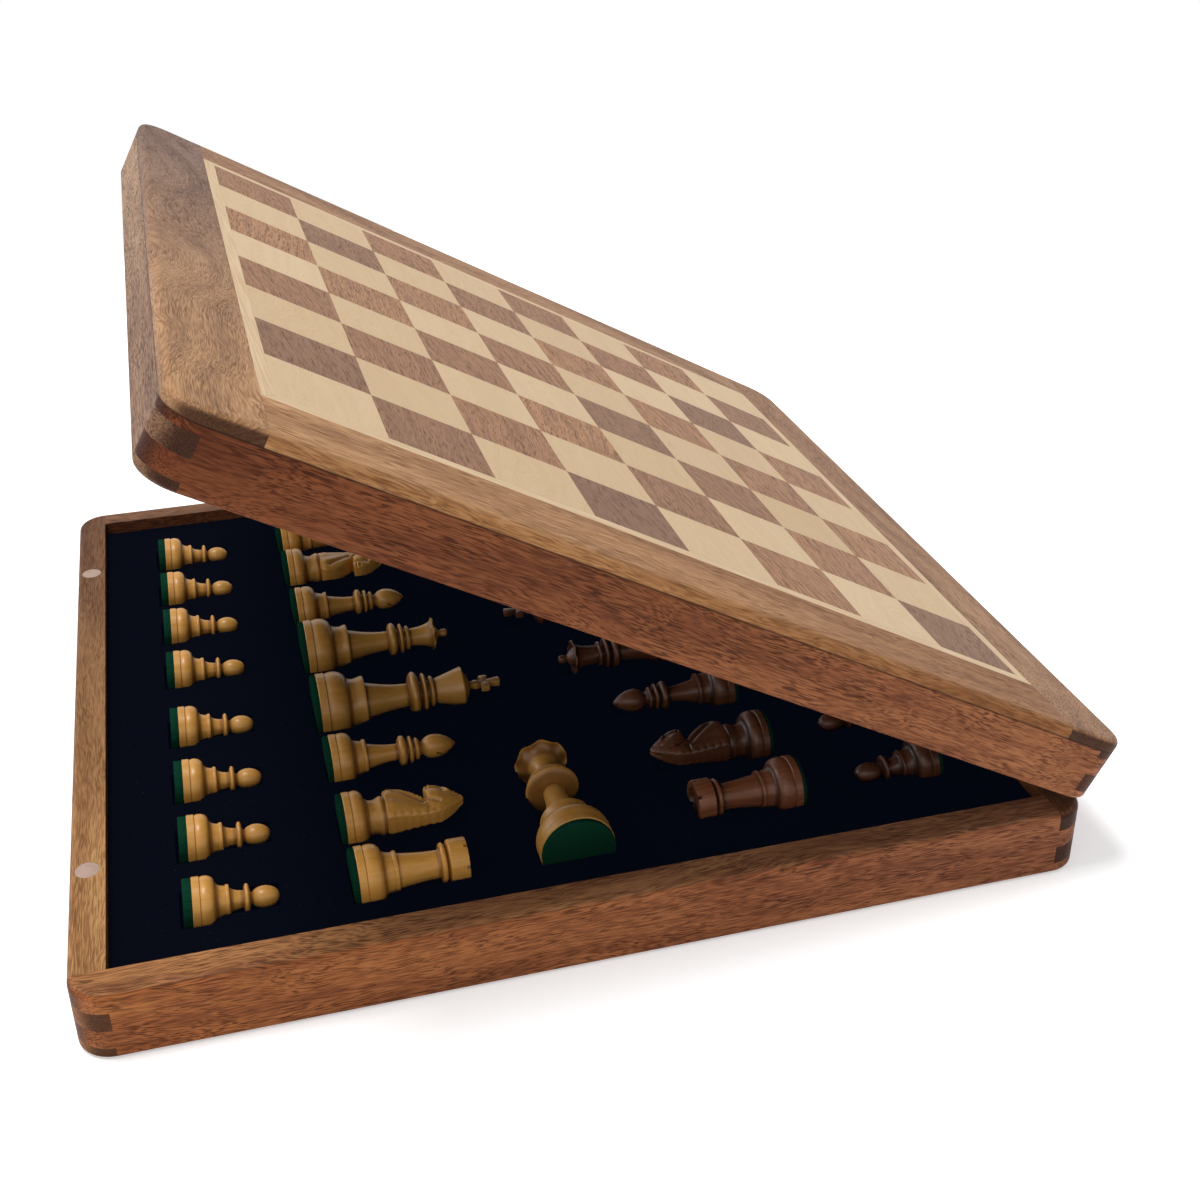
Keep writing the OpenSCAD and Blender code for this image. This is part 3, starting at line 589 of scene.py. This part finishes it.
def thicken(made, face, by):  # pushes a flat outline out into a closed solid
    pushed = bmesh.ops.extrude_face_region(made, geom=[face])
    bmesh.ops.translate(made, vec=by, verts=[v for v in pushed["geom"] if isinstance(v, bmesh.types.BMVert)])
    bmesh.ops.recalc_face_normals(made, faces=made.faces)


def block(size, centre, rotation):
    made = bmesh.new()
    bmesh.ops.create_cube(made, size=1)
    bmesh.ops.scale(made, vec=size, verts=made.verts)
    bmesh.ops.transform(made, matrix=Matrix.Translation(centre) @ rotation, verts=made.verts)
    return made


# Each piece: heights and radii in millimetres, and the function that turns it
pawnSize = {"tall": 31.2, "foot": 9.35, "plinth": 3, "head": 3.8, "felt": 3.0}


def makePawn():
    tall, foot = pawnSize["tall"], pawnSize["foot"]
    collarZ = tall - 13
    return turn(footCurve(foot, pawnSize["plinth"], 8.1, 5.2, 11.6)
                + [(5.5, 11.9), (5.6, 12.2), (5.6, 12.8), (5.45, 13.05)]
                + cove(5, 13.2, 3, collarZ)
                + bead(3, 2.2, collarZ, collarZ + 2.2)
                + egg(pawnSize["head"], tall - 5.6, 5.2, 5.6) + [(0, tall)])


rookSize = {"tall": 39.5, "foot": 11.0, "head": 7.9, "notch": 1.3, "notchDepth": 1.4, "rim": 1.8}


def makeRook():
    tall, foot, crown = rookSize["tall"], rookSize["foot"], rookSize["head"]
    collarZ = tall - 10
    made = turn(footCurve(foot, 3, 9, 6.9, 12.8)
                + [(7.15, 13.1), (7.3, 13.4), (7.3, 14.0), (7.15, 14.3)]
                + stem(6.2, 14.5, 4.9, collarZ - 0.6)
                + bead(5.2, 2, collarZ, collarZ + 2.4)
                + [(6.4, collarZ + 2.9), (crown - 0.2, collarZ + 3.3), (crown, collarZ + 3.6),
                   (crown, tall - 0.6), (crown - 0.2, tall - 0.15), (crown - 0.6, tall), (5.2, tall),
                   (5, tall - 0.3), (4.8, tall - rookSize["rim"]), (0, tall - rookSize["rim"])])
    notch = (crown * 2 + 1, rookSize["notch"], rookSize["notchDepth"] * 2)  # each cuts the crown at both sides
    notches = [block(notch, (0, 0, tall), Matrix.Rotation(math.radians(15 + 60 * i), 4, "Z")) for i in range(3)]
    return carve(made, notches)


bishopSize = {"tall": 49.5, "foot": 10.6, "mitre": 4.6, "collar": 6.0, "slot": 0.8, "slotAngle": -52}


def makeBishop():
    tall, foot, mitre = bishopSize["tall"], bishopSize["foot"], bishopSize["mitre"]
    at = tall - 9
    made = turn(footCurve(foot, 2.9, 8.6, 6.4, 12.4)
                + [(6.75, 12.7), (6.9, 13.0), (6.9, 13.6), (6.75, 13.9)]
                + stem(5.0, 14.1, 3.2, tall - 24)
                + collarCurve(3.2, bishopSize["collar"], tall - 23.2, 3.6)
                + ogive(mitre, at, 5.2, 9) + [(0, tall)])
    slot = block((mitre * 1.5, mitre * 2 + 1, bishopSize["slot"]), (mitre * 0.5, 0, at + 3.4),
                 Matrix.Rotation(math.radians(bishopSize["slotAngle"]), 4, "Y"))
    return carve(made, [slot])


queenSize = {"tall": 62.5, "foot": 13.7, "collar": 7.4, "crown": 7.5, "points": 8, "pointsFrom": 4.4, "dip": 0.6}
spareQueenSize = {**queenSize, "collar": 10.2, "crown": 10.3, "dip": 1.5}


def makeQueen(size):
    tall, foot, crown = size["tall"], size["foot"], size["crown"]
    rim = tall - 6.4
    made = turn(footCurve(foot, 3.4, 11.4, 9, 15.4)
                + [(9.45, 16.9), (9.6, 17.5), (9.55, 18.0), (9.3, 18.3)]
                + stem(7.0, 18.6, 4.2, tall - 27.6)
                + collarCurve(4, size["collar"], tall - 26.7, 4.1)
                + flare(3.9, tall - 16.6, crown, rim, 18)
                + [(crown - 0.25, rim + 0.3), (crown - 0.8, rim + 0.3), (crown * 0.78, rim - 0.4),
                   (4.6, rim - 0.9), (3.9, rim), (2.6, rim + 1.6), (1.2, rim + 2.6)]
                + bead(1.1, 0.6, tall - 3.4, tall - 0.3, 12) + [(0.5, tall - 0.05), (0, tall)], 96)
    inner = size["pointsFrom"]
    for v in made.verts:  # the coronet's points
        reach = math.hypot(v.co.x, v.co.y)
        if reach > inner and v.co.z > tall - 13:
            lobe = 0.5 - 0.5 * math.cos(size["points"] * math.atan2(v.co.y, v.co.x))
            edge = max(0.0, (reach - inner) / (crown - inner))
            v.co.z -= size["dip"] * lobe * edge ** 2
    return made


kingSize = {"tall": 76.0, "foot": 14.1, "collar": 9.2, "crown": 8.3, "crossThick": 2.6, "crossEdge": 0.35}


def makeKing():
    tall, foot, crown = kingSize["tall"], kingSize["foot"], kingSize["crown"]
    at, cross, thick = tall - 16.6, tall - 6.8, kingSize["crossThick"]
    made = turn(footCurve(foot, 3.6, 12, 9.9, 15.2)
                + [(10.4, 17.4), (10.6, 18.2), (10.55, 18.8), (10.3, 19.1)]
                + stem(7.7, 19.4, 4.8, tall - 39.6)
                + collarCurve(4.6, kingSize["collar"], tall - 38.9, 4.6)
                + [(5.0, tall - 27.6), (5.2, tall - 27.2), (crown - 0.15, at - 0.4), (crown, at),
                   (crown - 0.15, at + 0.5), (crown - 0.6, at + 0.8), (4.6, at + 2.4)]
                + cove(4.4, at + 2.6, 1.5, at + 4.4)
                + [(1.5, cross - 3), (1.95, cross - 2.7), (1.9, cross - 2.4), (0, cross - 2.4)])
    for i, reach in enumerate((6.7, 4.6, 5.0, 4.6)):  # the cross: up, near, down and far arm
        arm = bmesh.new()
        corners = [(-1, 0), (-2, reach - 0.8), (-1.4, reach), (1.4, reach), (2, reach - 0.8), (1, 0)]
        thicken(arm, arm.faces.new([arm.verts.new((-thick / 2, y, z)) for y, z in corners]), (thick, 0, 0))
        bmesh.ops.bevel(arm, geom=arm.edges[:], offset=kingSize["crossEdge"], segments=2, profile=0.5,
                        affect="EDGES", material=-1)
        bmesh.ops.transform(arm, verts=arm.verts,
                            matrix=Matrix.Translation((0, 0, cross)) @ Matrix.Rotation(math.pi / 2 * i, 4, "X"))
        joinInto(made, arm)
    return made


# The knight's carved horse: its side outline, and half its thickness at each height
knightSize = {"tall": 45.0, "foot": 10.7, "carvedFrom": 15.0}
horse = {
    "outline": [(8.6, 15.2), (9.9, 17.2), (9.9, 19), (9.2, 21.8), (7.9, 24.3), (6.0, 26.6), (4.0, 28.8),
                (1.8, 30.2), (0.6, 31.0), (1.6, 31.7), (4.2, 31.3), (7.0, 30.8), (8.8, 31.2), (9.8, 32.6),
                (9.9, 34.2), (9.3, 36), (8.2, 37.8), (7.0, 39.6), (5.6, 41.4), (4.0, 43.4), (2.4, 45.2),
                (0.6, 45), (-1.4, 42.8), (-3.8, 39.8), (-5.8, 36.8), (-6.6, 34), (-6.8, 29), (-6.8, 22),
                (-7.0, 15.2)],
    "thick": [(15, 6.6), (18, 6.8), (22, 6.1), (26, 5.3), (30, 4.6), (33, 4.9), (36, 4.6), (39, 3.8),
              (42, 2.8), (44, 1.8), (45, 1.2)],
    "blockHalf": 5,
    "voxel": 0.36,
    "softening": 7,
    "rounding": 0.42,
    "earsFrom": 42,
    "earsDip": 1.4,
}


def thickAt(table, z):
    for (z0, w0), (z1, w1) in zip(table, table[1:]):
        if z <= z1:
            return w0 + (w1 - w0) * max(0.0, z - z0) / (z1 - z0)
    return table[-1][1]


def dent(x, z, x0, z0, size):  # 1 at a spot of the side view, fading around it
    return math.exp(-((x - x0) ** 2 + (z - z0) ** 2) / size ** 2)


def cut(x, z, x0, z0, x1, z1, wide):  # 1 along a line of the side view, fading to both sides
    share = ((x - x0) * (x1 - x0) + (z - z0) * (z1 - z0)) / ((x1 - x0) ** 2 + (z1 - z0) ** 2)
    share = min(1.0, max(0.0, share))
    away = (x - x0 - share * (x1 - x0)) ** 2 + (z - z0 - share * (z1 - z0)) ** 2
    return math.exp(-away / wide ** 2)


def carvingAt(x, z):  # raised above 0, hollow below, on both flanks
    neck = -1.1 * cut(x, z, 7.0, 19.5, -0.6, 29.6, 1.1) - 0.5 * cut(x, z, 1.5, 18, -3.4, 31, 2.2)
    jaw = -1.3 * cut(x, z, 0.4, 31, -1.8, 35.4, 0.75)
    mane = -0.35 * max(0.0, min(1.0, (-4.9 - x) / 0.8)) * (0.5 + 0.5 * math.sin(z * 2.1)) ** 2
    cheek = 0.5 * dent(x, z, 3.0, 35.2, 2.6)
    muzzle = 0.5 * dent(x, z, 8.2, 32.8, 1.5) - 0.6 * cut(x, z, 6.4, 31.6, 6.2, 35.6, 0.6)
    brow = 0.7 * cut(x, z, 6.6, 38.6, 4.0, 40.2, 0.7)
    eye = 0.9 * dent(x, z, 5.6, 37.4, 0.6) - 1.4 * dent(x, z, 5.4, 37.4, 1.3)
    nostril = -1.0 * dent(x, z, 8.9, 33.9, 0.5)
    mouth = -0.9 * cut(x, z, 9.9, 32.2, 7.2, 32.4, 0.32)
    ear = -0.7 * cut(x, z, 2.2, 43.6, 1.2, 41.2, 0.5)
    return neck + jaw + mane + cheek + muzzle + brow + eye + nostril + mouth + ear


def makeHorse():
    made, half = bmesh.new(), horse["blockHalf"]
    thicken(made, made.faces.new([made.verts.new((x, -half, z)) for x, z in horse["outline"]]), (0, 2 * half, 0))
    rough = solidObject("horseRough", made)
    remesh = rough.modifiers.new("even", "REMESH")
    remesh.mode = "VOXEL"
    remesh.voxel_size = horse["voxel"]
    smooth = rough.modifiers.new("soft", "SMOOTH")
    smooth.factor = 0.5
    smooth.iterations = horse["softening"]
    made = bmesh.new()
    made.from_mesh(bpy.data.meshes.new_from_object(rough.evaluated_get(bpy.context.evaluated_depsgraph_get())))
    bpy.data.objects.remove(rough)
    spans = {}  # front and back of the horse at each whole height
    for v in made.verts:
        low, high = spans.get(round(v.co.z), (v.co.x, v.co.x))
        spans[round(v.co.z)] = (min(low, v.co.x), max(high, v.co.x))
    for v in made.verts:
        x, y, z = v.co
        side = 1 if y > 0 else -1
        flat = min(1.0, abs(y) / half)
        low, high = spans[round(z)]
        middle, reach = (low + high) / 2, max(0.5, (high - low) / 2)
        rounding = 1 - horse["rounding"] * min(1.0, abs((x - middle) / reach)) ** 2.6
        width = thickAt(horse["thick"], z) * rounding
        v.co.y = side * max(0.2, width + carvingAt(x, z)) * flat
        split = math.exp(-(y / 1.2) ** 2) * max(0.0, min(1.0, (z - horse["earsFrom"]) / 1.5))
        v.co.z = z - horse["earsDip"] * split
    bmesh.ops.recalc_face_normals(made, faces=made.faces)
    return made


def makeKnight():
    made = turn(footCurve(knightSize["foot"], 2.8, 7.6, 6.2, 10.6)
                + [(6.3, 11.4), (6.6, 12.2), (6.95, 12.9), (7.2, 13.6), (7.15, 14.3), (6.9, 15.0), (6.2, 15.5),
                   (0, 15.6)])
    joinInto(made, makeHorse())
    return made


# Painted shade in the grooves: 1 where a curve lies deeper than what is close above or below it
grooves = {
    "row": 0.3,
    "rowsLooked": 3,
    "shallow": 0.25,
    "spread": 0.9,
    "carvedShare": 0.6,
}


def addGrooveShade(made, carvedFrom):
    widest = {}
    for v in made.verts:
        row = round(v.co.z / grooves["row"])
        widest[row] = max(widest.get(row, 0.0), math.hypot(v.co.x, v.co.y))
    layer = made.verts.layers.float.new("groove")
    near = range(-grooves["rowsLooked"], grooves["rowsLooked"] + 1)
    for v in made.verts:
        row = round(v.co.z / grooves["row"])
        depth = max(widest.get(row + i, 0.0) for i in near) - math.hypot(v.co.x, v.co.y)
        if v.co.z > carvedFrom:
            depth = grooves["shallow"] - carvingAt(v.co.x, v.co.z) * grooves["carvedShare"]
        v[layer] = min(1.0, max(0.0, (depth - grooves["shallow"]) / grooves["spread"]))


kinds = {
    "pawn": (pawnSize, makePawn()),
    "rook": (rookSize, makeRook()),
    "knight": (knightSize, makeKnight()),
    "bishop": (bishopSize, makeBishop()),
    "spare_queen": (spareQueenSize, makeQueen(spareQueenSize)),
    "queen": (queenSize, makeQueen(queenSize)),
    "king": (kingSize, makeKing()),
}
for size, shape in kinds.values():
    addGrooveShade(shape, size.get("carvedFrom", size["tall"] + 1))
print("turned pieces:", {kind: len(shape.faces) for kind, (size, shape) in kinds.items()})


# How each piece lies: level, a little more than half of its foot above the foam, and its felt
lying = {"floatShare": 0.15, "pawnDip": 4.5, "sharpAngle": 32}
feltSize = {"thick": 2.0, "thin": 1.2, "inset": 0.35, "glue": 0.05, "room": 1.25, "fray": 0.12, "edge": 0.18}
faceDown = ("white_knight_near", "dark_knight_far")  # knights that lie on their other flank
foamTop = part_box("foam_tray")[1][2]


def feltThickness(node, size):
    return size.get("felt", feltSize["thick"]) if node.startswith("white") else feltSize["thin"]


def squeezeOf(node, size):  # how much shorter the wood is, to make room for its felt
    felt = feltThickness(node, size) + feltSize["glue"]
    return (size["tall"] + feltSize["room"] - felt) / size["tall"]


def layingMatrix(node, size):
    low, high = [Vector(c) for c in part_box(node)]
    squeeze = squeezeOf(node, size)
    reach = (feltThickness(node, size) + feltSize["glue"]) * mm
    height = foamTop + lying["floatShare"] * size["foot"] * mm
    middle = (low + high) / 2
    white = node.startswith("white")
    dip = math.radians(lying["pawnDip"]) if "pawn" in node else 0.0
    reach += size["foot"] * math.sin(dip) * mm
    height += pawnSize["plinth"] * math.sin(dip) * mm
    if "spare" in node:
        foot = Vector((middle.x, low.y + reach if white else high.y - reach, height))
        heading = 90 if white else -90
    else:
        foot = Vector((low.x + reach if white else high.x - reach, middle.y, height))
        heading = 0 if white else 180
    roll = 0
    if "knight" in node:
        roll = 90 if node in faceDown else -90
    return (Matrix.Translation(foot) @ Matrix.Rotation(math.radians(heading), 4, "Z")
            @ Matrix.Rotation(math.pi / 2 + dip, 4, "Y") @ Matrix.Rotation(math.radians(roll), 4, "Z")
            @ Matrix.Scale(mm, 4) @ Matrix.Scale(squeeze, 4, (0, 0, 1)))


def finishPiece(name, made, material, matrix, seed):
    made.verts.ensure_lookup_table()
    layer = made.verts.layers.float_vector.new("ownPlace")
    for v in made.verts:
        v[layer] = v.co + Vector((seed * 13.7, seed * 7.3, seed * 41.0))
    for f in made.faces:
        f.smooth = True
    for e in made.edges:
        e.smooth = e.calc_face_angle(0) < math.radians(lying["sharpAngle"])
    made.transform(matrix)
    mesh = bpy.data.meshes.new(name)
    made.to_mesh(mesh)
    mesh.materials.append(material)
    thing = bpy.data.objects.new(name, mesh)
    bpy.context.scene.collection.objects.link(thing)
    return thing


def makeFelt(size, thick):
    made = bmesh.new()
    radius = size["foot"] - feltSize["inset"]
    bmesh.ops.create_cone(made, cap_ends=True, segments=144, radius1=radius, radius2=radius, depth=thick)
    bmesh.ops.translate(made, vec=(0, 0, -thick / 2 - feltSize["glue"]), verts=made.verts)
    for v in made.verts:  # an uneven cut edge
        turned = math.atan2(v.co.y, v.co.x) + (0.7 if v.co.z < -thick / 2 else 0.0)
        ragged = math.sin(7 * turned + thick) + math.sin(17 * turned) + math.sin(43 * turned)
        v.co.x *= 1 + feltSize["fray"] * ragged / 3 / radius
        v.co.y *= 1 + feltSize["fray"] * ragged / 3 / radius
    rims = [e for e in made.edges if abs(e.verts[0].co.z - e.verts[1].co.z) < 0.01]
    bmesh.ops.bevel(made, geom=rims, offset=feltSize["edge"], segments=2, profile=0.5, affect="EDGES",
                    material=-1)
    return made


pieceNodes = sorted(n for n in frame["nodes"] if n.startswith(("white_", "dark_")) and n != "dark_squares")
for seed, node in enumerate(pieceNodes):
    kind = next(k for k in kinds if k in node)
    size, shape = kinds[kind]
    matrix = layingMatrix(node, size)
    shade = node.split("_")[0]
    disc = makeFelt(size, feltThickness(node, size) / squeezeOf(node, size))
    wood = finishPiece(node + "_wood", shape.copy(), piecePaints[shade, kind], matrix, seed + 1)
    felt = finishPiece(node + "_felt", disc, feltPaint, matrix, seed + 1)
    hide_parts(node)
    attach(wood, node)
    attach(felt, node)
    shade + "_piece"
print("chess pieces laid:", len(pieceNodes))


# Floor and light, in metres and watts; the floor's lift makes it white where it is seen, and keeps the shadow
studio = {
    "floorSize": 0.75,
    "floorLift": 0.37,
    "floorDrop": 0.0006,
    "floorColour": linear(252, 252, 252),
    "skyPower": 0.46,
    "aim": (0, 0, 0.05),
}
lamps = {
    "key": {"place": (-0.62, 0.18, 3.0), "size": 1.1, "power": 65.0},
    "fill": {"place": (-1.8, 0.9, 1.0), "size": 0.8, "power": 6.5},
    "front": {"place": (-0.9, -2.0, 1.1), "size": 1.2, "power": 5.0},
}


def makeFloor():
    made = bmesh.new()
    bmesh.ops.create_circle(made, cap_ends=True, segments=96, radius=studio["floorSize"])
    bmesh.ops.translate(made, vec=(0, 0, -studio["floorDrop"]), verts=made.verts)
    mesh = bpy.data.meshes.new("floor")
    made.to_mesh(mesh)
    floor = bpy.data.objects.new("floor", mesh)
    bpy.context.scene.collection.objects.link(floor)
    paint = Paint("floor_white")
    lift = paint.mix(paint.shown(), (0, 0, 0), (studio["floorLift"],) * 3)
    mesh.materials.append(paint.surface(Base_Color=studio["floorColour"], Roughness=0.9, Specular_IOR_Level=0.0,
                                        Emission_Color=lift, Emission_Strength=1.0))


def addLamp(name, lamp):
    light = bpy.data.lights.new(name, "AREA")
    light.shape = "DISK"
    light.size = lamp["size"]
    light.energy = lamp["power"]
    holder = bpy.data.objects.new(name, light)
    holder.location = lamp["place"]
    holder.rotation_euler = (Vector(studio["aim"]) - Vector(lamp["place"])).to_track_quat("-Z", "Y").to_euler()
    bpy.context.scene.collection.objects.link(holder)


def lightStudio():
    for name, lamp in lamps.items():
        addLamp(name, lamp)
    world = bpy.data.worlds.new("studio")
    bpy.context.scene.world = world
    sky = Paint("studio", world)
    strength = sky.node("ShaderNodeMix", None, {0: sky.shown(), 2: studio["skyPower"], 3: 1.0})
    sky.surface(Color=(1, 1, 1), Strength=strength)  # white where it is seen, dimmer as light on the box


# Camera, worked out from the photograph's vanishing lines: metres, degrees of tilt, yaw and roll, millimetres
photoCamera = {
    "place": (-0.1153, -0.5695, 0.3682),
    "turn": (62.56, -14.69, -0.88),
    "lens": 46.66,
    "sensor": 36,
    "shift": (0.0200, -0.0394),
}


def placeCamera():
    camera = bpy.data.cameras.new("camera")
    camera.lens = photoCamera["lens"]
    camera.sensor_width = camera.sensor_height = photoCamera["sensor"]
    camera.shift_x, camera.shift_y = photoCamera["shift"]
    camera.clip_start = 0.01
    holder = bpy.data.objects.new("camera", camera)
    tilt, yaw, roll = [math.radians(a) for a in photoCamera["turn"]]
    holder.matrix_world = (Matrix.Translation(photoCamera["place"]) @ Matrix.Rotation(yaw, 4, "Z")
                           @ Matrix.Rotation(tilt, 4, "X") @ Matrix.Rotation(roll, 4, "Z"))
    bpy.context.scene.collection.objects.link(holder)
    bpy.context.scene.camera = holder


makeFloor()
lightStudio()
placeCamera()
bpy.context.scene.view_settings.view_transform = "Standard"
print("studio ready")
